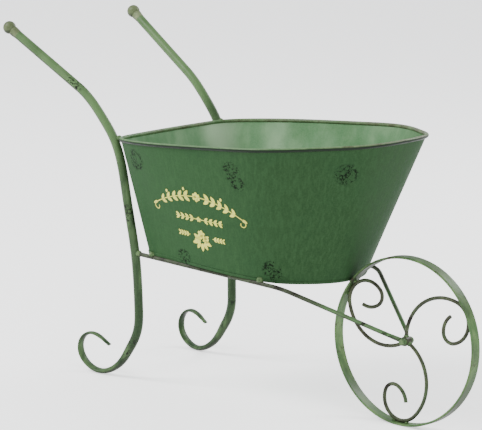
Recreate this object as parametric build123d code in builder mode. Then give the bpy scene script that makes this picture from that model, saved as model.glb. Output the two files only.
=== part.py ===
"""Painted steel garden wheelbarrow planter with scroll feet and a scroll-spoked wheel.

Millimetres, +Z up, +X towards the wheel, +Y to the left of the person pushing.
The origin is on the ground under the middle of the overall length.
"""
import os
from math import atan2, cos, degrees, radians, sin

from build123d import *

os.makedirs("parts", exist_ok=True)

# ---- overall sizes -------------------------------------------------------
overall_length = 803.0        # tip of the knobs to the front of the wheel
wheel_diameter = 250.0

# ---- wheel ----------------------------------------------------------------
ring_width = 18.0             # flat bar bent into the wheel's ring
ring_thickness = 3.2
ring_edge = 0.6               # eased edge of the flat bar
spoke_count = 3
spoke_rod = 5.5               # diameter of the scroll rods
hub_diameter = 14.0
hub_width = 12.0
axle_diameter = 6.0
axle_running_gap = 0.08       # radial, between the axle and the hub's bore
axle_head_diameter = 10.0
axle_head_height = 2.6
washer_diameter = 12.0
washer_thickness = 1.2
side_play = 0.3               # between the hub and each washer

# ---- handle legs -----------------------------------------------------------
tube_diameter = 13.5
tube_wall = 1.5
knob_diameter = 19.6
knob_neck_diameter = 13.6
knob_flare_diameter = 15.4
knob_flare_length = 12.0
knob_spigot_length = 22.0
spigot_gap = 0.1              # radial, between the spigot and the tube's bore
grip_height = 504.5           # centre of the knobs above the ground
grip_half_spread = 144.0      # centre of the knobs from the middle plane
leg_half_spread = 110.5       # lower leg from the middle plane
curl_tip_width = 7.6
curl_tip_thickness = 3.4

# ---- side rails --------------------------------------------------------------
rail_rod = 6.4
rail_height = 195.6           # centre of a rail at the leg
rail_bend_height = 192.6      # centre of a rail where it bends to the wheel
rail_rear_spread = 114.5      # centre of a rail at the leg, from the middle plane
rail_bend_spread = 116.0      # centre of a rail at that bend, from the middle plane
rail_bend_setback = 145.0     # that bend behind the axle
rail_bend_radius = 45.0
rail_joint_setback = 424.5    # centre of the leg where a rail meets it, behind the axle
eye_diameter = 11.0
eye_thickness = 3.0
eye_gap = 0.05                # radial, between the axle and an eye
eye_neck_setback = 17.0       # where the rod starts to flatten, behind the axle
eye_neck_spread = 21.9
eye_neck_height = 134.1

# ---- tub -----------------------------------------------------------------------
sheet = 1.2                   # sheet metal of the tub
rim_bead_diameter = 6.2
rim_rear_height = 363.5       # centre of the rim bead at the rear
rim_front_height = 415.3      # centre of the rim bead at the nose
floor_lift = 3.0              # floor above the bottom edge of the wall
hem_height = 4.0
hem_thickness = 0.9
rim_touch_share = 0.0905      # where the rim touches the leg, along the rim
rim_touch_angle = 12.0        # direction from the rim to the leg there
leg_lean = 35.0               # slope of the leg there, off upright
rim_leg_gap = 1.8             # between rim and leg, filled by the weld

# Tub outlines, each as (setback behind the axle, distance from the middle plane).
rim_rear_setback = 468.0
rim_back_corner = (464.5, 97.0)
rim_side_start = (436.0, 141.0)
rim_side = [(347.0, 167.0), (240.0, 172.0), (157.0, 164.5), (73.5, 109.0)]
rim_nose_setback = 29.0
base_rear_setback = 409.0
base_back_corner = (407.0, 95.5)
base_side_start = (386.5, 114.5)
base_side = [(300.0, 119.0), (198.0, 117.0), (158.0, 102.0), (131.0, 72.0)]
base_nose_setback = 108.0

# ---- worked out -------------------------------------------------------------------
wheel_radius = wheel_diameter / 2
axle_x = overall_length / 2 - wheel_radius
tube_radius = tube_diameter / 2
rail_radius = rail_rod / 2
spoke_radius = spoke_rod / 2
ring_inner_radius = wheel_radius - ring_thickness
base_height = rail_height + rail_radius
washer_face = hub_width / 2 + side_play
eye_face = washer_face + washer_thickness
eye_centre = eye_face + eye_thickness / 2
knob_x = -overall_length / 2 + knob_diameter / 2
sides = (("left", 1), ("right", -1))


def behind(setback):
    """X of a place given by how far it lies behind the axle."""
    return axle_x - setback


def unit(start, end):
    """Direction from one place to another."""
    return (Vector(*end) - Vector(*start)).normalized()


# ---- wheel pieces ------------------------------------------------------------------
wheel_plane = Plane(origin=(axle_x, 0, wheel_radius), x_dir=(1, 0, 0), z_dir=(0, -1, 0))
axle_axis = Axis((axle_x, 0, wheel_radius), (0, 1, 0))

with BuildPart() as wheel_ring:
    with BuildSketch(wheel_plane):
        Circle(wheel_radius)
        Circle(ring_inner_radius, mode=Mode.SUBTRACT)
    extrude(amount=ring_width / 2, both=True)
    chamfer(wheel_ring.edges().filter_by(GeomType.CIRCLE), ring_edge)

with BuildPart() as wheel_hub:
    with BuildSketch(wheel_plane):
        Circle(hub_diameter / 2)
        Circle(axle_diameter / 2 + axle_running_gap, mode=Mode.SUBTRACT)
    extrude(amount=hub_width / 2, both=True)
    chamfer(wheel_hub.edges().filter_by(GeomType.CIRCLE).group_by(SortBy.RADIUS)[-1], 0.8)


def polar(radius, angle):
    """Place on the wheel's plane, from its centre."""
    return (radius * cos(radians(angle)), radius * sin(radians(angle)))


# A scroll leaves the hub, sweeps out to touch the ring and curls back to a free tip.
# Its places are (distance from the axle, angle).
contact_radius = ring_inner_radius - spoke_radius
contact_angle = 29.4
curl_radius = 31.8
scroll_root = (hub_diameter / 2 - 1.0, 94.0)
scroll_back = (69.6, 21.3)
scroll_tip = (91.0, 34.0)


def scroll_line(turn):
    """Centre-line of a scroll, turned about the axle."""
    root, back_end, tip, curl_centre = (
        polar(radius, angle + turn)
        for radius, angle in (
            scroll_root, scroll_back, scroll_tip, (contact_radius - curl_radius, contact_angle)
        )
    )
    with BuildLine(wheel_plane) as line:
        curl = CenterArc(curl_centre, curl_radius, turn + 75, -150)
        TangentArc(curl @ 0, root, tangent=curl % 0 * -1)
        back = TangentArc(curl @ 1, back_end, tangent=curl % 1)
        TangentArc(back_end, tip, tangent=back % 1)
    return line.wires()[0]


scroll_spokes = []
for number in range(spoke_count):
    scroll_path = scroll_line(number * 360 / spoke_count)
    with BuildPart() as scroll_spoke:
        with BuildSketch(Plane(origin=scroll_path @ 0, z_dir=scroll_path % 0)):
            Circle(spoke_radius)
        sweep(path=scroll_path)
        add(wheel_hub.part, mode=Mode.SUBTRACT)
    scroll_spokes.append(scroll_spoke)

# ---- axle -----------------------------------------------------------------------------
axle_half_length = eye_face + eye_thickness

with BuildPart() as axle_pin:
    with BuildSketch(wheel_plane):
        Circle(axle_diameter / 2)
    extrude(amount=axle_half_length, both=True)
    for _, sign in sides:
        head_plane = Plane(
            origin=(axle_x, sign * axle_half_length, wheel_radius), x_dir=(1, 0, 0), z_dir=(0, sign, 0)
        )
        with BuildSketch(head_plane):
            Circle(axle_head_diameter / 2)
        extrude(amount=axle_head_height)
    fillet(axle_pin.faces().sort_by(Axis.Y)[0].edges(), axle_head_height * 0.6)
    fillet(axle_pin.faces().sort_by(Axis.Y)[-1].edges(), axle_head_height * 0.6)

washers = {}
for side, sign in sides:
    with BuildPart() as washer:
        washer_plane = Plane(
            origin=(axle_x, sign * washer_face, wheel_radius), x_dir=(1, 0, 0), z_dir=(0, sign, 0)
        )
        with BuildSketch(washer_plane):
            Circle(washer_diameter / 2)
            Circle(axle_diameter / 2 + axle_running_gap, mode=Mode.SUBTRACT)
        extrude(amount=washer_thickness)
    washers[side] = washer

# ---- tub ----------------------------------------------------------------------------------
rim_run = rim_rear_setback - rim_nose_setback
rim_tilt = degrees(atan2(rim_front_height - rim_rear_height, rim_run))
rim_plane = Plane(
    origin=(behind(rim_rear_setback), 0, rim_rear_height),
    x_dir=(cos(radians(rim_tilt)), 0, sin(radians(rim_tilt))),
    z_dir=(-sin(radians(rim_tilt)), 0, cos(radians(rim_tilt))),
)
base_drop = rail_height - rail_bend_height
base_run = rail_joint_setback - rail_bend_setback
base_tilt = -degrees(atan2(base_drop, base_run))
base_plane = Plane(
    origin=(behind(rail_joint_setback), 0, base_height),
    x_dir=(cos(radians(base_tilt)), 0, sin(radians(base_tilt))),
    z_dir=(-sin(radians(base_tilt)), 0, cos(radians(base_tilt))),
)
rim_stretch = 1 / cos(radians(rim_tilt))


def tub_outline(rear, corner, side_start, side, nose, inset, local_x):
    """Closed plan outline of the tub, drawn inset from its outer face."""
    def place(setback, spread):
        shrink = inset if spread else 0
        return (local_x(setback), spread - shrink)

    rear_point = (local_x(rear - inset), 0)
    corner_point = place(corner[0] - inset, corner[1])
    side_point = place(side_start[0] - 0.6 * inset, side_start[1])
    nose_point = (local_x(nose + inset), 0)
    with BuildLine() as outline:
        back = TangentArc(rear_point, corner_point, tangent=(0, 1))
        turn = TangentArc(corner_point, side_point, tangent=back % 1)
        Spline(
            [side_point, *[place(*point) for point in side], nose_point],
            tangents=[turn % 1, (0, -1)],
        )
        mirror(about=Plane.XZ)
    return outline.wires()[0]


def rim_local_x(setback):
    """Distance up the rim's sloping plane."""
    return (rim_rear_setback - setback) * rim_stretch


def rim_outline(inset):
    """Top outline of the wall, in the rim's plane."""
    return tub_outline(
        rim_rear_setback, rim_back_corner, rim_side_start, rim_side, rim_nose_setback, inset, rim_local_x
    )


def base_local_x(setback):
    """Distance along the base plane, which dips with the rails."""
    return (rail_joint_setback - setback) / cos(radians(base_tilt))


def base_outline(inset):
    """Bottom outline of the wall, in the base plane."""
    return tub_outline(
        base_rear_setback, base_back_corner, base_side_start, base_side, base_nose_setback, inset,
        base_local_x,
    )


def tub_form(inset):
    """Solid between the bottom and top outlines, drawn inset from the wall's outer face."""
    with BuildPart() as form:
        with BuildSketch(base_plane):
            make_face(base_outline(inset))
        with BuildSketch(rim_plane):
            make_face(rim_outline(inset))
        loft(ruled=True)
    return form.part


def slab(low, high):
    """Slab parallel to the tub's base, used to cut a band from its form."""
    with BuildPart() as block:
        with BuildSketch(base_plane.offset(low)):
            Rectangle(2 * overall_length, overall_length)
        extrude(amount=high - low)
    return block.part


outer_form = tub_form(0)
inner_form = tub_form(sheet)

with BuildPart() as rim_bead:
    bead_path = rim_outline(0).moved(rim_plane.location)
    with BuildSketch(Plane(origin=bead_path @ 0, z_dir=bead_path % 0)):
        Circle(rim_bead_diameter / 2)
    sweep(path=bead_path)

with BuildPart() as tub_wall:
    add(outer_form)
    add(inner_form, mode=Mode.SUBTRACT)
    add(rim_bead.part, mode=Mode.SUBTRACT)

with BuildPart() as tub_floor:
    add(inner_form)
    add(slab(floor_lift, floor_lift + sheet), mode=Mode.INTERSECT)

with BuildPart() as base_hem:
    add(tub_form(-hem_thickness))
    add(slab(0, hem_height), mode=Mode.INTERSECT)
    add(outer_form, mode=Mode.SUBTRACT)

# ---- handle legs -----------------------------------------------------------------------
# Each leg is one tube: grip, knee at the rim, swayed leg, and a foot curled back on itself.
# Places are (setback behind the axle, distance from the middle plane, height).
rim_touch = bead_path.position_at(rim_touch_share)
touch_reach = (tube_radius + rim_bead_diameter / 2 + rim_leg_gap) / cos(radians(leg_lean))
touch_setback = axle_x - rim_touch.X + touch_reach * cos(radians(rim_touch_angle))
touch_spread = abs(rim_touch.Y) + touch_reach * sin(radians(rim_touch_angle))
knee_start = (540.0, touch_spread + 4.5, 430.5)
leg_line = [
    (492.5, touch_spread + 1.0, 389.5),
    (touch_setback, touch_spread, rim_touch.Z),
    (442.5, (touch_spread + rail_rear_spread) / 2, 275.0),
    (rail_joint_setback, rail_rear_spread, rail_height),
    (415.5, leg_half_spread, 110.0),
]
foot_start = (426.0, 111.5, 52.0)
foot_line = [
    (439.0, 111.9, 29.5),
    (458.0, 113.2, 11.2),
    (480.0, 115.0, 3.7),
    (503.0, 117.2, 10.2),
    (516.5, 118.6, 25.0),
    (518.5, 119.2, 41.0),
    (511.0, 118.6, 54.5),
    (497.5, 117.2, 59.5),
    (483.0, 116.0, 56.0),
    (466.0, 114.0, 46.5),
]
# Half width across and half thickness of the foot, at shares of its length.
foot_sections = [
    (0.0, tube_radius, tube_radius),
    (0.30, 7.1, 4.1),
    (0.55, 7.0, 3.0),
    (0.78, 6.2, 2.4),
    (1.0, curl_tip_width / 2, curl_tip_thickness / 2),
]
ball_radius = knob_diameter / 2
ball_lift = knob_flare_length + (ball_radius**2 - (knob_neck_diameter / 2) ** 2) ** 0.5


def on_side(point, sign):
    """Place from its setback, spread and height, on the left (1) or right (-1)."""
    return (behind(point[0]), sign * point[1], point[2])


def sweep_round(path, radius):
    """Round bar along a path."""
    with BuildPart() as bar:
        with BuildSketch(Plane(origin=path @ 0, z_dir=path % 0)):
            Circle(radius)
        sweep(path=path)
    return bar.part


leg_forms = {}
legs = {}
knobs = {}
for side, sign in sides:
    knob_centre = Vector(knob_x, sign * grip_half_spread, grip_height)
    knee = Vector(*on_side(knee_start, sign))
    grip_direction = unit(knee, knob_centre)
    tube_end = knob_centre - grip_direction * ball_lift
    with BuildLine() as upper_line:
        grip = Line(tube_end, knee)
        Spline(
            [knee, *[on_side(point, sign) for point in leg_line], on_side(foot_start, sign)],
            tangents=[grip % 1, unit(on_side(foot_start, sign), on_side(foot_line[0], sign))],
        )
    upper_path = upper_line.wires()[0]
    with BuildLine() as foot_curve:
        Spline(
            [on_side(foot_start, sign), *[on_side(point, sign) for point in foot_line]],
            tangents=[
                upper_path % 1,
                unit(on_side(foot_line[-2], sign), on_side(foot_line[-1], sign)),
            ],
        )
    foot_path = foot_curve.wires()[0]
    with BuildPart() as leg_form:
        add(sweep_round(upper_path, tube_radius))
        for share, half_width, half_thick in foot_sections:
            across = Plane(origin=foot_path @ share, x_dir=(0, 1, 0), z_dir=foot_path % share)
            with BuildSketch(across):
                Ellipse(half_width, half_thick)
        sweep(path=foot_path, multisection=True)
    leg_forms[side] = leg_form.part
    with BuildPart() as handle_leg:
        add(leg_form.part)
        add(sweep_round(upper_path, tube_radius - tube_wall), mode=Mode.SUBTRACT)
    legs[side] = handle_leg

    # Knob: a spigot in the tube's bore, a flared collar, a neck and a ball.
    knob_plane = Plane(
        origin=tube_end, x_dir=grip_direction, z_dir=grip_direction.cross(Vector(0, 0, 1))
    )
    spigot_radius = tube_radius - tube_wall - spigot_gap
    neck_radius = knob_neck_diameter / 2
    with BuildPart() as knob:
        with BuildSketch(knob_plane):
            with BuildLine():
                Polyline(
                    (ball_lift + ball_radius, 0),
                    (-knob_spigot_length, 0),
                    (-knob_spigot_length, spigot_radius),
                    (0, spigot_radius),
                    (0, tube_radius),
                    (knob_flare_length - 2.0, knob_flare_diameter / 2),
                    (knob_flare_length, neck_radius),
                )
                ThreePointArc(
                    (knob_flare_length, neck_radius),
                    (ball_lift, ball_radius),
                    (ball_lift + ball_radius, 0),
                )
            make_face()
        revolve(axis=Axis(tube_end, grip_direction))
    knobs[side] = knob

# ---- side rails -----------------------------------------------------------------------------
eye_reach = eye_diameter / 2 - 0.6  # where the flattened end meets the eye, from the axle
rail_forms = {}
rails = {}
for side, sign in sides:
    joint = Vector(*on_side((rail_joint_setback, rail_rear_spread, rail_height), sign))
    bend = Vector(*on_side((rail_bend_setback, rail_bend_spread, rail_bend_height), sign))
    neck = Vector(*on_side((eye_neck_setback, eye_neck_spread, eye_neck_height), sign))
    eye = Vector(axle_x, sign * eye_centre, wheel_radius)
    with BuildLine() as rail_line:
        FilletPolyline(joint, bend, neck, radius=rail_bend_radius)
    rail_path = rail_line.wires()[0]
    tongue_direction = Vector(eye.X - neck.X, 0, eye.Z - neck.Z).normalized()
    tongue_end = eye - tongue_direction * eye_reach
    eye_plane = Plane(origin=eye, x_dir=(1, 0, 0), z_dir=(0, 1, 0))
    rail_forms[side] = sweep_round(rail_path, rail_radius)
    with BuildPart() as side_rail:
        add(rail_forms[side])
        with BuildSketch(Plane(origin=neck, x_dir=(0, 1, 0), z_dir=rail_path % 1)):
            Circle(rail_radius)
        with BuildSketch(Plane(origin=tongue_end, x_dir=(0, 1, 0), z_dir=tongue_direction)):
            Ellipse(eye_thickness / 2, eye_diameter * 0.36)
        loft()
        with BuildSketch(eye_plane):
            Circle(eye_diameter / 2)
        extrude(amount=eye_thickness / 2, both=True)
        with BuildSketch(eye_plane):
            Circle(axle_diameter / 2 + eye_gap)
        extrude(amount=eye_thickness, both=True, mode=Mode.SUBTRACT)
        add(leg_forms[side], mode=Mode.SUBTRACT)
    rails[side] = side_rail

# ---- welds -------------------------------------------------------------------------------------


def weld(centre, radius, members):
    """Bead of weld metal that fills the corner between its members."""
    bead = Sphere(radius).moved(Location(centre))
    for member in members:
        bead = bead - member
    return bead.solids().sort_by(SortBy.VOLUME)[-1]


# Spots where the tub is welded to a rail: (setback, spread, height) and the bead's radius.
tub_weld_spots = [
    ((391.0, rail_rear_spread + 1.6, base_height + 0.6), 4.4),
    ((186.0, rail_bend_spread - 2.0, base_height - 1.2), 5.6),
]
rail_weld_radius = 5.2
rim_weld_radius = 4.4
rim_weld_reach = rim_bead_diameter / 2 + rim_leg_gap / 2  # from the rim's middle to its weld
ring_weld_radius = 2.8
ring_weld_inset = 1.0         # from the ring's inner face to the middle of its weld beads
ring_weld_step = 5.5          # degrees of ring between a contact and its weld beads
hub_weld_radius = 3.8
rail_welds = {}
rim_welds = {}
tub_welds = {}
for side, sign in sides:
    members = [leg_forms[side], rail_forms[side]]
    front_of_leg = on_side((rail_joint_setback - tube_radius, rail_rear_spread, rail_height), sign)
    rail_welds[side] = weld(front_of_leg, rail_weld_radius, members)

    touch = Vector(rim_touch.X, sign * abs(rim_touch.Y), rim_touch.Z)
    outward = Vector(-cos(radians(rim_touch_angle)), sign * sin(radians(rim_touch_angle)), 0)
    members = [leg_forms[side], rim_bead.part]
    rim_welds[side] = weld(touch + outward * rim_weld_reach, rim_weld_radius, members)

    members = [rail_forms[side], base_hem.part, outer_form, leg_forms[side]]
    beads = [
        weld(on_side((setback, spread, height), sign), radius, members)
        for (setback, spread, height), radius in tub_weld_spots
    ]
    tub_welds[side] = Part(children=beads)

ring_weld_beads = []
hub_weld_beads = []
for number, scroll_spoke in enumerate(scroll_spokes):
    turn = number * 360 / spoke_count
    members = [wheel_ring.part, scroll_spoke.part]
    for step in (-ring_weld_step, ring_weld_step):
        spot = polar(ring_inner_radius - ring_weld_inset, contact_angle + turn + step)
        ring_weld_beads.append(weld(wheel_plane.from_local_coords(spot), ring_weld_radius, members))
    spot = polar(hub_diameter / 2, scroll_root[1] + turn)
    members = [wheel_hub.part, scroll_spoke.part]
    hub_weld_beads.append(weld(wheel_plane.from_local_coords(spot), hub_weld_radius, members))

# ---- write every piece ----------------------------------------------------------------------------
pieces = {
    "tub_wall": tub_wall.part,
    "tub_floor": tub_floor.part,
    "base_hem": base_hem.part,
    "rim_bead": rim_bead.part,
    "axle_pin": axle_pin.part,
    "wheel_ring": wheel_ring.part,
    "wheel_hub": wheel_hub.part,
    "ring_welds": Part(children=ring_weld_beads),
    "hub_welds": Part(children=hub_weld_beads),
}
for number, scroll_spoke in enumerate(scroll_spokes):
    pieces[f"scroll_spoke_{number + 1}"] = scroll_spoke.part
for side, _ in sides:
    pieces[f"{side}_handle_leg"] = legs[side].part
    pieces[f"{side}_knob"] = knobs[side].part
    pieces[f"{side}_side_rail"] = rails[side].part
    pieces[f"{side}_washer"] = washers[side].part
    pieces[f"{side}_rail_weld"] = rail_welds[side]
    pieces[f"{side}_rim_weld"] = rim_welds[side]
    pieces[f"{side}_tub_welds"] = tub_welds[side]

for name, part in pieces.items():
    part.label = name
    export_step(part, f"parts/{name}.step")
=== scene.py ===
# %% [markdown]
# # A painted garden wheelbarrow
# The real object is a small planter barrow: a tub of thin sheet, two bent tube
# handles that end in curled feet, and one strip-iron wheel with scroll spokes.
# The metal parts come ready made from the CAD frame. The lesson is about giving
# them paint that looks brushed, rubbed and chipped, and painting an ornament on.

# %% Load the frame
import math

import bpy
from mathutils import Matrix, Vector


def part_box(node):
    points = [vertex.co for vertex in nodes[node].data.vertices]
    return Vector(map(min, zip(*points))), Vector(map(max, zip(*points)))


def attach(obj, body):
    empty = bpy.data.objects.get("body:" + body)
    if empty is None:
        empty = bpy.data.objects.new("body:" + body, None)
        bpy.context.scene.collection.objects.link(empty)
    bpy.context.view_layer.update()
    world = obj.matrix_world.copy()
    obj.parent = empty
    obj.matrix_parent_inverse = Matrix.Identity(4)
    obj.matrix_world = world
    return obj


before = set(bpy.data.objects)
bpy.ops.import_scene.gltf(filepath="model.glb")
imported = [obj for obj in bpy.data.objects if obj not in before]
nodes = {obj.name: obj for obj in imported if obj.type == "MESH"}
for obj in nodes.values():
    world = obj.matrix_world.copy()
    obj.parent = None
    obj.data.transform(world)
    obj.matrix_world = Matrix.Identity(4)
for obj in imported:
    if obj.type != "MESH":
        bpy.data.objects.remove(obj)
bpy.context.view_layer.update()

# %% [markdown]
# ## The camera
# A long lens from the front right shows the tub's side and the wheel together.
# The camera could be aimed with a constraint, but a matrix built from three
# directions is exact, and its slight roll is easy to add.

# %% Place the camera
lens_in_frame_widths = 8.1887967              # focal length over the frame's width
turn = math.radians(38.29)                    # round the barrow, from its right side
tilt = math.radians(11.71)                    # down
roll = math.radians(3.162)
camera_distance = 5.733                       # from the wheel's middle
slide_right = -0.2400
slide_up = 0.1831

low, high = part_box("wheel_ring")
wheel_centre = (low + high) / 2
right = Vector((math.cos(turn), math.sin(turn), 0))
ahead = Vector(
    (-math.sin(turn) * math.cos(tilt), math.cos(turn) * math.cos(tilt), -math.sin(tilt))
)
above = right.cross(ahead)
right, above = (
    math.cos(roll) * right + math.sin(roll) * above,
    math.cos(roll) * above - math.sin(roll) * right,
)
eye = wheel_centre + slide_right * right + slide_up * above - camera_distance * ahead

bpy.ops.object.camera_add()
camera = bpy.context.object
camera.name = "camera"
camera.data.sensor_fit = "HORIZONTAL"
camera.data.sensor_width = 36.0
camera.data.lens = lens_in_frame_widths * camera.data.sensor_width
facing_matrix = Matrix((right, above, -ahead)).transposed().to_4x4()
camera.matrix_world = Matrix.Translation(eye) @ facing_matrix
bpy.context.scene.camera = camera
print("lens:", round(camera.data.lens, 1), "mm, camera at", [round(c, 3) for c in eye])

# %% [markdown]
# ## Floor and light
# Product pictures of small metalwork use a white sweep and very soft light. One
# big plane is enough for the floor, because this camera never sees its far edge.
# A large lamp above and to the left gives the shine along rims and tubes, and a
# weaker one opposite keeps the shaded sides readable.


# %% Make the floor
def deselect_all():
    """Nothing stays selected, so the next operator acts on its own piece only."""
    bpy.ops.object.select_all(action="DESELECT")


deselect_all()
bpy.ops.mesh.primitive_plane_add(size=30)
floor = bpy.context.object
floor.name = "floor"
floor_paint = bpy.data.materials.new("floor_white")
floor_paint.use_nodes = True
floor_shader = floor_paint.node_tree.nodes["Principled BSDF"]
floor_shader.inputs["Base Color"].default_value = (0.88, 0.88, 0.875, 1)
floor_shader.inputs["Roughness"].default_value = 0.85
floor_shader.inputs["Emission Color"].default_value = (1, 1, 1, 1)
floor_shader.inputs["Emission Strength"].default_value = 1.0
floor.data.materials.append(floor_paint)

# %% Light it softly
look_at = Vector((0.0, 0.0, 0.25))


def soft_lamp(name, place, size, power, tint=(1, 1, 1)):
    """Square area lamp turned towards the middle of the barrow."""
    deselect_all()
    bpy.ops.object.light_add(type="AREA", location=place)
    lamp = bpy.context.object
    lamp.name = name
    lamp.data.size = size
    lamp.data.energy = power
    lamp.data.color = tint
    lamp.rotation_euler = (look_at - Vector(place)).to_track_quat("-Z", "Y").to_euler()
    return lamp


soft_lamp("lamp_top_left", (-1.5, -1.6, 2.3), 1.2, 105)
soft_lamp("lamp_right", (2.2, -1.2, 1.2), 1.6, 26)
soft_lamp("lamp_behind", (0.4, 2.2, 1.7), 1.0, 40)
world = bpy.data.worlds.new("studio")
world.use_nodes = True
world.node_tree.nodes["Background"].inputs["Color"].default_value = (0.95, 0.97, 1.0, 1)
world.node_tree.nodes["Background"].inputs["Strength"].default_value = 1.15
bpy.context.scene.world = world

# %% [markdown]
# ## Small helpers for node trees
# Every finish is a tree of shader nodes. Short helpers make the trees read like
# sums: one adds any node, and the others add the kinds that are used all the time.


# %% Helpers for node trees
def srgb(red, green, blue):
    """Linear colour from the 0 to 255 values that a colour picker shows."""
    return tuple((value / 255) ** 2.2 for value in (red, green, blue)) + (1.0,)


def put(tree, kind, inputs=None, **settings):
    """Adds a node, sets it up, and gives its inputs values or links."""
    node = tree.nodes.new(kind)
    for name, value in settings.items():
        setattr(node, name, value)
    for name, value in (inputs or {}).items():
        if isinstance(value, bpy.types.NodeSocket):
            tree.links.new(value, node.inputs[name])
        else:
            node.inputs[name].default_value = value
    return node


def sums(tree, operation, first, second=0.0, clamp=False):
    """One step of arithmetic."""
    inputs = {0: first, 1: second}
    return put(tree, "ShaderNodeMath", inputs, operation=operation, use_clamp=clamp).outputs[0]


def between(tree, value, start, end, low=0.0, high=1.0):
    """Smooth step of a value from low to high as it goes from start to end."""
    inputs = {"Value": value, "From Min": start, "From Max": end, "To Min": low, "To Max": high}
    return put(tree, "ShaderNodeMapRange", inputs, interpolation_type="SMOOTHSTEP").outputs[0]


def blend_colours(tree, share, first, second):
    """Colour that goes from first to second with the share."""
    mixer = put(tree, "ShaderNodeMix", {0: share, 6: first, 7: second}, data_type="RGBA")
    return mixer.outputs[2]


def noise(tree, place, scale, detail=3.0, roughness=0.5, distortion=0.0):
    """Cloudy pattern from 0 to 1."""
    inputs = {
        "Vector": place, "Scale": scale, "Detail": detail,
        "Roughness": roughness, "Distortion": distortion,
    }
    return put(tree, "ShaderNodeTexNoise", inputs).outputs["Fac"]


# %% [markdown]
# ## Effects that several paints share
# Brush marks, worn-through patches, scuffed spots and painted shade on the
# faces that look down turn up in most of the finishes. Each is built once as a
# node group with named inputs, so that every paint can place it with its own values.


# %% A group with named sockets
SOCKETS = {
    "number": "NodeSocketFloat", "colour": "NodeSocketColor", "place": "NodeSocketVector",
}


def new_group(name, takes, gives):
    """Empty node group, with its inputs and outputs."""
    group = bpy.data.node_groups.new(name, "ShaderNodeTree")
    for socket, kind in takes:
        group.interface.new_socket(socket, in_out="INPUT", socket_type=SOCKETS[kind])
    for socket, kind in gives:
        group.interface.new_socket(socket, in_out="OUTPUT", socket_type=SOCKETS[kind])
    given = group.nodes.new("NodeGroupInput").outputs
    result = group.nodes.new("NodeGroupOutput").inputs
    return group, given, result


def use_group(tree, group, inputs):
    """Places a group in a material and returns its outputs."""
    return put(tree, "ShaderNodeGroup", inputs, node_tree=group).outputs


def vector_maths(tree, operation, first, second, result="Vector"):
    """One step of arithmetic on places or directions."""
    inputs = {0: first, 1: second}
    return put(tree, "ShaderNodeVectorMath", inputs, operation=operation).outputs[result]


# %% Brushed coat
brushed_coat, given, result = new_group(
    "brushed coat",
    [("Place", "place"), ("Stretch", "place"), ("Main", "colour"), ("Streaks", "colour"),
     ("Clouds", "colour"), ("Streak share", "number"), ("Cloud share", "number")],
    [("Colour", "colour"), ("Roughness", "number"), ("Height", "number")],
)
stretched = vector_maths(brushed_coat, "MULTIPLY", given["Place"], given["Stretch"])
bristle_marks = noise(brushed_coat, stretched, 1.0, detail=6.0, roughness=0.62, distortion=0.35)
broad_clouds = noise(brushed_coat, given["Place"], 11.0, detail=4.0, roughness=0.6)
fine_grain = noise(brushed_coat, given["Place"], 420.0, detail=2.0)
in_streak = between(brushed_coat, bristle_marks, 0.38, 0.68)
streak_share = sums(brushed_coat, "MULTIPLY", in_streak, given["Streak share"])
in_cloud = between(brushed_coat, broad_clouds, 0.42, 0.7)
cloud_share = sums(brushed_coat, "MULTIPLY", in_cloud, given["Cloud share"])
coat_colour = blend_colours(brushed_coat, streak_share, given["Main"], given["Streaks"])
coat_colour = blend_colours(brushed_coat, cloud_share, coat_colour, given["Clouds"])
speck_share = between(brushed_coat, fine_grain, 0.3, 0.75, 0.0, 0.16)
coat_colour = blend_colours(brushed_coat, speck_share, coat_colour, given["Streaks"])
brushed_coat.links.new(coat_colour, result["Colour"])
coat_roughness = between(brushed_coat, bristle_marks, 0.25, 0.8, 0.36, 0.56)
brushed_coat.links.new(coat_roughness, result["Roughness"])
height = sums(brushed_coat, "ADD", bristle_marks, sums(brushed_coat, "MULTIPLY", fine_grain, 0.25))
brushed_coat.links.new(height, result["Height"])

# %% Worn-through patches
worn_through, given, result = new_group(
    "worn through",
    [("Place", "place"), ("Size", "number"), ("Amount", "number"), ("Colour", "colour"),
     ("Under", "colour")],
    [("Colour", "colour"), ("Mask", "number")],
)
edge_sharpness = 14.0
patches = noise(
    worn_through, given["Place"], given["Size"], detail=7.0, roughness=0.68, distortion=0.4
)
half_amount = sums(worn_through, "MULTIPLY", given["Amount"], 0.5)
cut_off = sums(worn_through, "SUBTRACT", 0.78, half_amount)
above_cut = sums(worn_through, "SUBTRACT", patches, cut_off)
mask = sums(worn_through, "MULTIPLY", above_cut, edge_sharpness, clamp=True)
worn_through.links.new(mask, result["Mask"])
worn_through.links.new(
    blend_colours(worn_through, mask, given["Colour"], given["Under"]), result["Colour"]
)

# %% Scuffed spots
scuffed_spot, given, result = new_group(
    "scuffed spot",
    [("Place", "place"), ("Centre", "place"), ("Reach", "number")],
    [("Mask", "number")],
)
away = vector_maths(scuffed_spot, "DISTANCE", given["Place"], given["Centre"], "Value")
nearness = sums(scuffed_spot, "SUBTRACT", 1.0, sums(scuffed_spot, "DIVIDE", away, given["Reach"]))
chips = noise(scuffed_spot, given["Place"], 310.0, detail=3.0, roughness=0.62, distortion=0.8)
gathered = noise(scuffed_spot, given["Place"], 90.0, detail=2.0)
chip_share = between(scuffed_spot, chips, 0.495, 0.545)
kept = between(scuffed_spot, gathered, 0.38, 0.47)
fleck_mask = sums(scuffed_spot, "MULTIPLY", chip_share, kept)
near_enough = between(scuffed_spot, nearness, 0.05, 0.3)
spot_mask = sums(scuffed_spot, "MULTIPLY", fleck_mask, near_enough)
scuffed_spot.links.new(spot_mask, result["Mask"])
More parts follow.
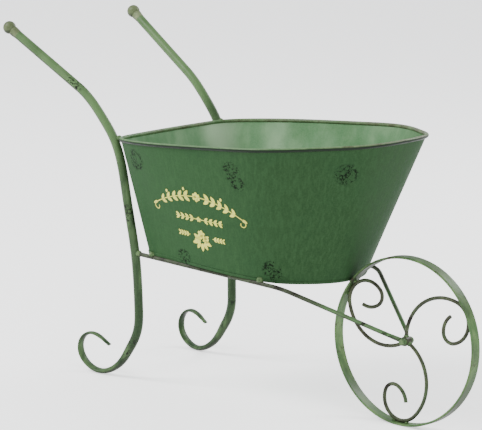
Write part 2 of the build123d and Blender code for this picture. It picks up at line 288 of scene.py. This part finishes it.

# %% Painted shade on undersides
painted_shade_underneath, given, result = new_group(
    "painted shade underneath",
    [("Facing", "place"), ("Colour", "colour"), ("Dark", "colour"), ("Share", "number")],
    [("Colour", "colour")],
)
# Painted shade: faces that look down are blended towards the dark colour.
upward = put(painted_shade_underneath, "ShaderNodeSeparateXYZ", {0: given["Facing"]}).outputs["Z"]
painted_shade_share = sums(
    painted_shade_underneath, "MULTIPLY", between(painted_shade_underneath, upward, -0.05, -0.7), given["Share"]
)
painted_shade_underneath.links.new(
    blend_colours(painted_shade_underneath, painted_shade_share, given["Colour"], given["Dark"]), result["Colour"]
)
print("node groups:", [group.name for group in bpy.data.node_groups])

# %% [markdown]
# ## A paint for each kind of piece
# All the paints share one recipe: a brushed coat, patches where an older colour
# shows through, painted shade on the faces that look down, and a bump from the
# bristle marks. What changes is the colours, the direction of the brush and how
# worn the piece is.
# The handles get paler towards the grips, and the rails towards the axle.
# The shader itself stays in the material, with its plain values on its sockets.


# %% The paint recipe
def start_paint(name):
    """Empty painted-metal material: its tree, its shader and its place on the piece."""
    material = bpy.data.materials.new(name)
    material.use_nodes = True
    tree = material.node_tree
    shader = tree.nodes["Principled BSDF"]
    shader.inputs["Specular IOR Level"].default_value = 0.16
    place = tree.nodes.new("ShaderNodeTexCoord").outputs["Object"]
    return material, tree, shader, place


def finish_paint(tree, shader, colour, roughness, height, depth):
    """Plugs the finished colour, roughness and bump into the shader."""
    bump = put(tree, "ShaderNodeBump", {"Height": height, "Distance": depth, "Strength": 0.8})
    tree.links.new(colour, shader.inputs["Base Color"])
    tree.links.new(roughness, shader.inputs["Roughness"])
    tree.links.new(bump.outputs["Normal"], shader.inputs["Normal"])


def worn_paint(
    name, main, streaks, clouds, under, stretch, patch_size, amount, depth=0.0005, fade=None,
    chipped=(),
):
    """Brushed paint, old colour in patches, painted shade on the faces that look down.

    fade is (colour, axis, from, to) of a colour blended in along one axis, and chipped lists
    scuffed spots.
    """
    material, tree, shader, place = start_paint(name)
    if fade:
        second, axis, start, end = fade
        parts = put(tree, "ShaderNodeSeparateXYZ", {0: place})
        main = blend_colours(tree, between(tree, parts.outputs[axis], start, end), main, second)
    coat = use_group(tree, brushed_coat, {
        "Place": place, "Stretch": stretch, "Main": main, "Streaks": streaks, "Clouds": clouds,
        "Streak share": 0.8, "Cloud share": 0.7,
    })
    worn = use_group(tree, worn_through, {
        "Place": place, "Size": patch_size, "Amount": amount, "Colour": coat["Colour"],
        "Under": under,
    })
    height = sums(tree, "SUBTRACT", coat["Height"], sums(tree, "MULTIPLY", worn["Mask"], 0.5))
    roughness = sums(tree, "ADD", coat["Roughness"], sums(tree, "MULTIPLY", worn["Mask"], 0.12))
    colour = worn["Colour"]
    for centre, reach in chipped:
        spot = use_group(tree, scuffed_spot, {"Place": place, "Centre": centre, "Reach": reach})
        colour = blend_colours(tree, spot["Mask"], colour, srgb(20, 26, 16))
    # Painted shade: faces that look down are darkened towards near black.
    facing = tree.nodes.new("ShaderNodeTexCoord").outputs["Normal"]
    shaded = use_group(tree, painted_shade_underneath, {
        "Facing": facing, "Colour": colour, "Dark": srgb(22, 28, 16), "Share": 0.85,
    })
    finish_paint(tree, shader, shaded["Colour"], roughness, height, depth)
    return material


# %% Paints for tubes, rods, ring and welds
old_brown = srgb(50, 45, 34)

handle_paint = worn_paint(
    "handle_sage", srgb(34, 52, 32), srgb(78, 100, 66), srgb(34, 50, 30), srgb(22, 28, 18),
    (55, 55, 16), 26, 0.30, fade=(srgb(76, 102, 64), "Z", 0.26, 0.42),
    chipped=[
        ((-0.152, -0.110, 0.050), 0.032), ((-0.166, -0.114, 0.250), 0.026),
        ((-0.268, -0.132, 0.438), 0.020), ((-0.160, 0.110, 0.060), 0.020),
    ],
)
rod_paint = worn_paint(
    "rod_pewter", srgb(44, 43, 33), srgb(78, 86, 62), srgb(52, 72, 46), srgb(26, 22, 16),
    (60, 60, 60), 34, 0.42,
)
rail_paint = worn_paint(
    "rail_pewter", srgb(38, 38, 31), srgb(70, 80, 60), srgb(38, 42, 28), srgb(24, 22, 16),
    (60, 60, 60), 34, 0.40, fade=(srgb(70, 100, 62), "X", 0.155, 0.195),
)
ring_paint = worn_paint(
    "ring_sage", srgb(60, 88, 52), srgb(96, 122, 76), srgb(42, 52, 32), old_brown,
    (30, 90, 30), 30, 0.36,
)
weld_paint = worn_paint(
    "weld_green", srgb(52, 78, 46), srgb(104, 124, 84), srgb(38, 56, 32), old_brown,
    (220, 220, 220), 120, 0.34, depth=0.0016,
)
knob_paint = worn_paint(
    "knob_grey", srgb(84, 96, 66), srgb(116, 126, 94), srgb(56, 62, 42), old_brown,
    (70, 70, 40), 48, 0.42,
)
axle_metal = worn_paint(
    "axle_dull", srgb(62, 86, 54), srgb(94, 112, 76), srgb(40, 54, 34), srgb(34, 32, 24),
    (150, 150, 150), 90, 0.4,
)
print("paints:", [material.name for material in bpy.data.materials])

# %% [markdown]
# ## The tub's paint
# Outside, the tub is a deep garden green with painted shade that darkens it
# towards the nose, with upright brush marks and a few dark scuffed spots. Inside
# it is much paler, with two painted highlights on the far wall. One sheet has both
# faces, so the paint asks which way the surface looks: away from the tub's middle
# is outside. Two materials on two sets of faces would do it as well, but the CAD
# mesh would have to be split.

# %% Where the tub's paint changes
wall_low, wall_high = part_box("tub_wall")
tub_middle = Vector(((wall_low.x + wall_high.x) / 2, 0, 0))
# Painted shade: the outside darkens from nose_starts to nose_full along X.
nose_starts, nose_full = -0.05, 0.2           # where the outside darkens, along X
inner_nose_starts, inner_nose_full = 0.08, 0.23
scuffs = [                                    # centre and reach of each scuffed spot
    ((-0.128, -0.143, 0.345), 0.020),
    ((0.064, -0.161, 0.360), 0.019),
    ((0.073, -0.155, 0.344), 0.015),
    ((0.204, -0.076, 0.374), 0.024),
    ((-0.049, -0.121, 0.209), 0.015),
    ((0.109, -0.112, 0.217), 0.017),
    ((0.114, -0.107, 0.207), 0.012),
    ((-0.090, 0.148, 0.330), 0.022),
    ((0.120, 0.140, 0.280), 0.026),
]

# Painted highlights: pale patches inside the tub on the far wall.
painted_highlights = [                             # centre, reach and strength, inside the tub
    ((-0.178, 0.104, 0.0), 0.044, 0.9),
    ((-0.100, 0.150, 0.0), 0.034, 0.3),
]


def faces_outward(tree, place):
    """1 where the surface looks away from the tub's middle, and 0 where it looks in."""
    facing = tree.nodes.new("ShaderNodeTexCoord").outputs["Normal"]
    from_middle = vector_maths(tree, "SUBTRACT", place, tuple(tub_middle))
    level = vector_maths(tree, "MULTIPLY", from_middle, (1, 1, 0))
    outward = vector_maths(tree, "DOT_PRODUCT", facing, level, "Value")
    return between(tree, outward, -0.002, 0.002)


def tub_paint_material(name):
    """Deep brushed green outside with painted shade towards the nose, pale green inside with two
    painted highlights, and scuffed spots outside.
    """
    material, tree, shader, place = start_paint(name)
    outside = faces_outward(tree, place)
    level_place = vector_maths(tree, "MULTIPLY", place, (1, 1, 0))
    parts = put(tree, "ShaderNodeSeparateXYZ", {0: place})
    # Painted shade towards the nose, where the wall turns away from the light.
    nose_shade_share = between(tree, parts.outputs["X"], nose_starts, nose_full)
    main = blend_colours(tree, nose_shade_share, srgb(41, 66, 41), srgb(36, 57, 35))
    outer = use_group(tree, brushed_coat, {
        "Place": place, "Stretch": (230, 230, 11), "Main": main, "Streaks": srgb(60, 87, 58),
        "Clouds": srgb(36, 60, 38), "Streak share": 0.24, "Cloud share": 0.45,
    })
    inner = use_group(tree, brushed_coat, {
        "Place": place, "Stretch": (40, 40, 14), "Main": srgb(90, 125, 90),
        "Streaks": srgb(120, 150, 114), "Clouds": srgb(70, 106, 70),
        "Streak share": 0.6, "Cloud share": 0.8,
    })
    inner_nose = between(
        tree, parts.outputs["X"], inner_nose_starts, inner_nose_full, 0.0, 0.65
    )
    inner_colour = blend_colours(tree, inner_nose, inner["Colour"], srgb(54, 86, 50))
    # Painted highlight: pale colour blended in near each centre.
    for centre, reach, strength in painted_highlights:
        away = vector_maths(tree, "DISTANCE", level_place, centre, "Value")
        highlight_share = between(tree, away, reach, 0.0, 0.0, strength)
        inner_colour = blend_colours(tree, highlight_share, inner_colour, srgb(158, 184, 150))
    colour = outer["Colour"]
    marks = None
    for centre, reach in scuffs:
        spot = use_group(tree, scuffed_spot, {"Place": place, "Centre": centre, "Reach": reach})
        marks = spot["Mask"] if marks is None else sums(tree, "MAXIMUM", marks, spot["Mask"])
    colour = blend_colours(tree, sums(tree, "MULTIPLY", marks, 0.9), colour, srgb(10, 20, 11))
    colour = blend_colours(tree, outside, inner_colour, colour)
    height = sums(tree, "SUBTRACT", outer["Height"], sums(tree, "MULTIPLY", marks, 0.8))
    shader.inputs["Specular IOR Level"].default_value = 0.06
    roughness = sums(tree, "ADD", outer["Roughness"], 0.2)
    finish_paint(tree, shader, colour, roughness, height, 0.00028)
    return material


tub_paint = tub_paint_material("tub_green")

# %% [markdown]
# ## The rim's paint
# Hands and pots rub the rolled rim most. Its right-hand side keeps its green
# paint, and round the nose and along the left side the brown-grey metal shows.
# The place and some noise decide between the two. Painted shade: the faces under
# the roll that look outwards and down are painted nearly black.


# %% Mix the rim's paint
def rim_paint_material(name):
    """Green on the right-hand side, brown-grey at the nose and on the left."""
    material, tree, shader, place = start_paint(name)
    parts = put(tree, "ShaderNodeSeparateXYZ", {0: place})
    side = between(tree, parts.outputs["Y"], -0.09, 0.02)
    nose = between(tree, parts.outputs["X"], 0.16, 0.23)
    bare = sums(tree, "MAXIMUM", side, nose)
    streaky = noise(tree, place, 34.0, detail=6.0, roughness=0.65)
    bare = sums(tree, "MULTIPLY", bare, between(tree, streaky, 0.3, 0.55), clamp=True)
    main = blend_colours(tree, bare, srgb(68, 98, 62), srgb(70, 70, 52))
    # Painted shade under the roll: outward faces that look down go nearly black.
    facing = tree.nodes.new("ShaderNodeTexCoord").outputs["Normal"]
    upward = put(tree, "ShaderNodeSeparateXYZ", {0: facing}).outputs["Z"]
    painted_shade_under_roll = sums(
        tree, "MULTIPLY", between(tree, upward, 0.75, 0.2), faces_outward(tree, place)
    )
    coat = use_group(tree, brushed_coat, {
        "Place": place, "Stretch": (60, 60, 60), "Main": main, "Streaks": srgb(112, 138, 98),
        "Clouds": srgb(58, 84, 52), "Streak share": 0.5, "Cloud share": 0.55,
    })
    worn = use_group(tree, worn_through, {
        "Place": place, "Size": 60, "Amount": 0.22, "Colour": coat["Colour"], "Under": old_brown,
    })
    colour = blend_colours(tree, painted_shade_under_roll, worn["Colour"], srgb(14, 28, 14))
    finish_paint(tree, shader, colour, coat["Roughness"], coat["Height"], 0.0004)
    return material


rim_paint = rim_paint_material("rim_rubbed")

# %% [markdown]
# ## Put the paints on
# Each CAD piece keeps its shape and only gets a material in its slot. Pieces of
# one kind share one paint, as they would on the bench.

# %% Put the paints on the pieces
PAINT_OF = {
    "tub_wall": tub_paint, "tub_floor": tub_paint, "base_hem": tub_paint, "rim_bead": rim_paint,
    "axle_pin": axle_metal, "wheel_ring": ring_paint, "wheel_hub": rod_paint,
    "ring_welds": weld_paint, "hub_welds": weld_paint,
}
PAINT_OF_KIND = {
    "scroll_spoke": rod_paint, "side_rail": rail_paint, "handle_leg": handle_paint,
    "knob": knob_paint, "washer": axle_metal, "weld": weld_paint,
}
for name, piece in nodes.items():
    paint = PAINT_OF.get(name)
    if paint is None:
        paint = next(value for kind, value in PAINT_OF_KIND.items() if kind in name)
    piece.data.materials.clear()
    piece.data.materials.append(paint)
print("painted pieces:", len(nodes))

# %% [markdown]
# ## The painted ornament
# Cream paint decorates the right-hand side: an arched garland of leaves and
# buds, a short sprig under it, and a small posy with a twig on each side. It
# could be a picture on the sheet, but thin raised paint made of real leaves
# stays sharp from close by. Each kind of leaf or petal is shaped once, in the
# flat, and copied along arcs. The whole garland is then pressed onto the sheet.

# %% Cream paint
cream_paint = worn_paint(
    "ornament_cream", srgb(204, 202, 80), srgb(222, 220, 112), srgb(170, 168, 66),
    srgb(96, 110, 66), (120, 120, 120), 150, 0.3, depth=0.0002,
)
ornament_front = -0.22        # plane in front of the sheet, where the flat shapes are drawn


# %% Shape one leaf in the flat
def flat_leaf(name, length, width, tip_sharpness=1.6):
    """Leaf lying in the XZ plane, its stem end at the origin and its tip along +X."""
    deselect_all()
    bpy.ops.mesh.primitive_circle_add(
        vertices=24, radius=0.5, fill_type="TRIFAN", rotation=(math.pi / 2, 0, 0)
    )
    leaf = bpy.context.object
    leaf.name = name
    bpy.ops.object.transform_apply(location=True, rotation=True, scale=True)
    for vertex in leaf.data.vertices:
        along = vertex.co.x + 0.5
        fullness = math.sin(math.pi * min(max(along, 0.0), 1.0) ** 0.8) ** (1 / tip_sharpness)
        reach = math.sqrt(max(0.25 - vertex.co.x**2, 0.0)) + 1e-6
        across = vertex.co.z / reach / 2
        vertex.co = Vector((along * length, 0, across * width * fullness))
    return leaf


leaf_shape = flat_leaf("leaf_shape", 0.0130, 0.0064)
petal_shape = flat_leaf("petal_shape", 0.0068, 0.0052, tip_sharpness=2.6)
bud_shape = flat_leaf("bud_shape", 0.0046, 0.0040, tip_sharpness=2.8)
print("leaf corners:", len(leaf_shape.data.vertices))

# %% Copy shapes to their places
ornament_pieces = []


def lay(shape, x, z, angle, size=1.0, mirror=1.0):
    """Copy of a flat shape, turned and set down in front of the sheet."""
    copy = shape.copy()
    copy.data = shape.data.copy()
    bpy.context.scene.collection.objects.link(copy)
    turned = Matrix.Rotation(-math.radians(angle), 4, "Y")
    grown = Matrix.Diagonal((size, 1, size * mirror, 1))
    copy.data.transform(Matrix.Translation((x, ornament_front, z)) @ turned @ grown)
    ornament_pieces.append(copy)


def lay_stem(path, steps, thickness):
    """Flat ribbon along a path, which gives (x, z) for a share from 0 to 1."""
    deselect_all()
    bpy.ops.mesh.primitive_grid_add(x_subdivisions=steps, y_subdivisions=1, size=1)
    ribbon = bpy.context.object
    for vertex in ribbon.data.vertices:
        share, across = vertex.co.x + 0.5, vertex.co.y * 2
        (x, z), (x_next, z_next) = path(share), path(share + 0.001)
        along = Vector((x_next - x, z_next - z)).normalized() * thickness / 2
        vertex.co = Vector((x - across * along.y, ornament_front, z + across * along.x))
    ornament_pieces.append(ribbon)


# %% The arched garland
arch_left, arch_right = -0.090, 0.074
arch_middle = (arch_left + arch_right) / 2
arch_half = (arch_right - arch_left) / 2


def arch_height(x, base=0.288, rise=0.021):
    """Height of the garland's stem, highest at its middle."""
    return base + rise * (1 - ((x - arch_middle) / arch_half) ** 2)


def arch_slope(x):
    """Slope of the garland's stem in degrees."""
    return math.degrees(math.atan2(arch_height(x + 0.001) - arch_height(x - 0.001), 0.002))


stations = 15
bloom_room = 0.013            # half the width left free for the bloom in the middle
leaf_lean = 42                # degrees between a leaf and the stem
bud_lift = 0.0085             # from the stem up to a bud
garland = [arch_left + (arch_right - arch_left) * k / (stations - 1) for k in range(stations)]
lay_stem(
    lambda share: (
        arch_left + (arch_right - arch_left) * share,
        arch_height(arch_left + (arch_right - arch_left) * share),
    ),
    48, 0.0014,
)
for count, x in enumerate(garland[1:-1]):
    if abs(x - arch_middle) < bloom_room:     # the bloom's own place
        continue
    side = 1 if x < arch_middle else -1
    heading = arch_slope(x) + (0 if side > 0 else 180)
    size = 1.0 - 0.25 * abs(x - arch_middle) / arch_half
    for lean in (leaf_lean, -leaf_lean):
        lay(leaf_shape, x, arch_height(x), heading + lean, size)
    if count % 3 == 1:
        lay(bud_shape, x, arch_height(x) + bud_lift, 90, 1.0)
for petal in range(6):
    lay(petal_shape, arch_middle, arch_height(arch_middle), 30 + 60 * petal, 1.1)
for x, heading in ((arch_left, 205), (arch_right, -25)):
    lay(leaf_shape, x, arch_height(x), heading, 0.7)


def end_curl(sign):
    """Path of a curl under one end of the garland."""
    def path(share):
        angle = math.radians(90 - 300 * share)
        reach = 0.0068 - 0.0042 * share
        return (
            arch_middle + sign * (arch_half + reach * math.cos(angle)),
            arch_height(arch_left) - 0.0068 + reach * math.sin(angle),
        )
    return path


for sign in (-1, 1):
    lay_stem(end_curl(sign), 28, 0.0013)

# %% The sprig, the posy and its twigs
sprig_height = 0.2745
lay_stem(lambda share: (arch_middle - 0.045 + 0.09 * share, sprig_height), 20, 0.0011)
for dx in (-0.038, -0.029, -0.020, -0.011, 0.011, 0.020, 0.029, 0.038):
    heading = 180 if dx < 0 else 0
    for lean in (38, -38):
        lay(leaf_shape, arch_middle + dx, sprig_height, heading + lean, 0.62)
for petal in range(5):
    lay(petal_shape, arch_middle, sprig_height, 90 + 72 * petal, 0.62)

posy_x, posy_z = arch_middle + 0.001, 0.2445
blooms = ((0, 0.0065, 1.05), (-0.0075, -0.001, 0.92), (0.0078, -0.0005, 0.92))
for bloom_x, bloom_z, size in blooms:
    for petal in range(6):
        lay(petal_shape, posy_x + bloom_x, posy_z + bloom_z, 60 * petal + 20 * size, size)
posy_leaves = (
    (200, 1.0), (235, 0.9), (270, 0.95), (305, 0.9), (340, 1.0), (150, 0.8), (30, 0.8),
)
for heading, size in posy_leaves:
    angle = math.radians(heading)
    leaf_x = posy_x + 0.006 * math.cos(angle)
    leaf_z = posy_z - 0.002 + 0.005 * math.sin(angle)
    lay(leaf_shape, leaf_x, leaf_z, heading, size)
twig_height = 0.248
twig_leaves = 4
for sign in (-1, 1):
    inner, outer = posy_x + sign * 0.022, posy_x + sign * 0.043
    lay_stem(lambda share, a=inner, b=outer: (a + (b - a) * share, twig_height), 10, 0.001)
    for step in range(twig_leaves):
        x = inner + (outer - inner) * (step + 0.5) / twig_leaves
        for lean in (40, -40):
            lay(leaf_shape, x, twig_height, (0 if sign > 0 else 180) + lean, 0.46)

# %% [markdown]
# ## Press the ornament onto the sheet
# The flat shapes are joined and thrown onto the tub by a Shrinkwrap modifier that
# projects them straight back. Solidify then gives the paint its small thickness.

# %% Press it on
deselect_all()
for shape in (leaf_shape, petal_shape, bud_shape):
    bpy.data.objects.remove(shape)
for piece in ornament_pieces:
    piece.select_set(True)
bpy.context.view_layer.objects.active = ornament_pieces[0]
bpy.ops.object.join()
ornament = bpy.context.object
ornament.name = "side_ornament"
bpy.ops.object.transform_apply(location=True, rotation=True, scale=True)
for face in ornament.data.polygons:
    if face.normal.y > 0:
        face.flip()
ornament.data.update()


def apply_modifier(piece, kind, **settings):
    """Adds a modifier, sets it up and applies it."""
    deselect_all()
    piece.select_set(True)
    bpy.context.view_layer.objects.active = piece
    modifier = piece.modifiers.new(kind.title(), kind)
    for name, value in settings.items():
        setattr(modifier, name, value)
    bpy.ops.object.modifier_apply(modifier=modifier.name)


apply_modifier(
    ornament, "SHRINKWRAP", target=nodes["tub_wall"], wrap_method="PROJECT",
    use_project_y=True, use_project_x=False, use_project_z=False,
    use_positive_direction=True, use_negative_direction=False, offset=0.00025,
    wrap_mode="ABOVE_SURFACE",
)
apply_modifier(ornament, "SOLIDIFY", thickness=0.0002, offset=1.0)
ornament.data.materials.clear()
ornament.data.materials.append(cream_paint)
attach(ornament, "barrow")
print("ornament corners:", len(ornament.data.vertices))
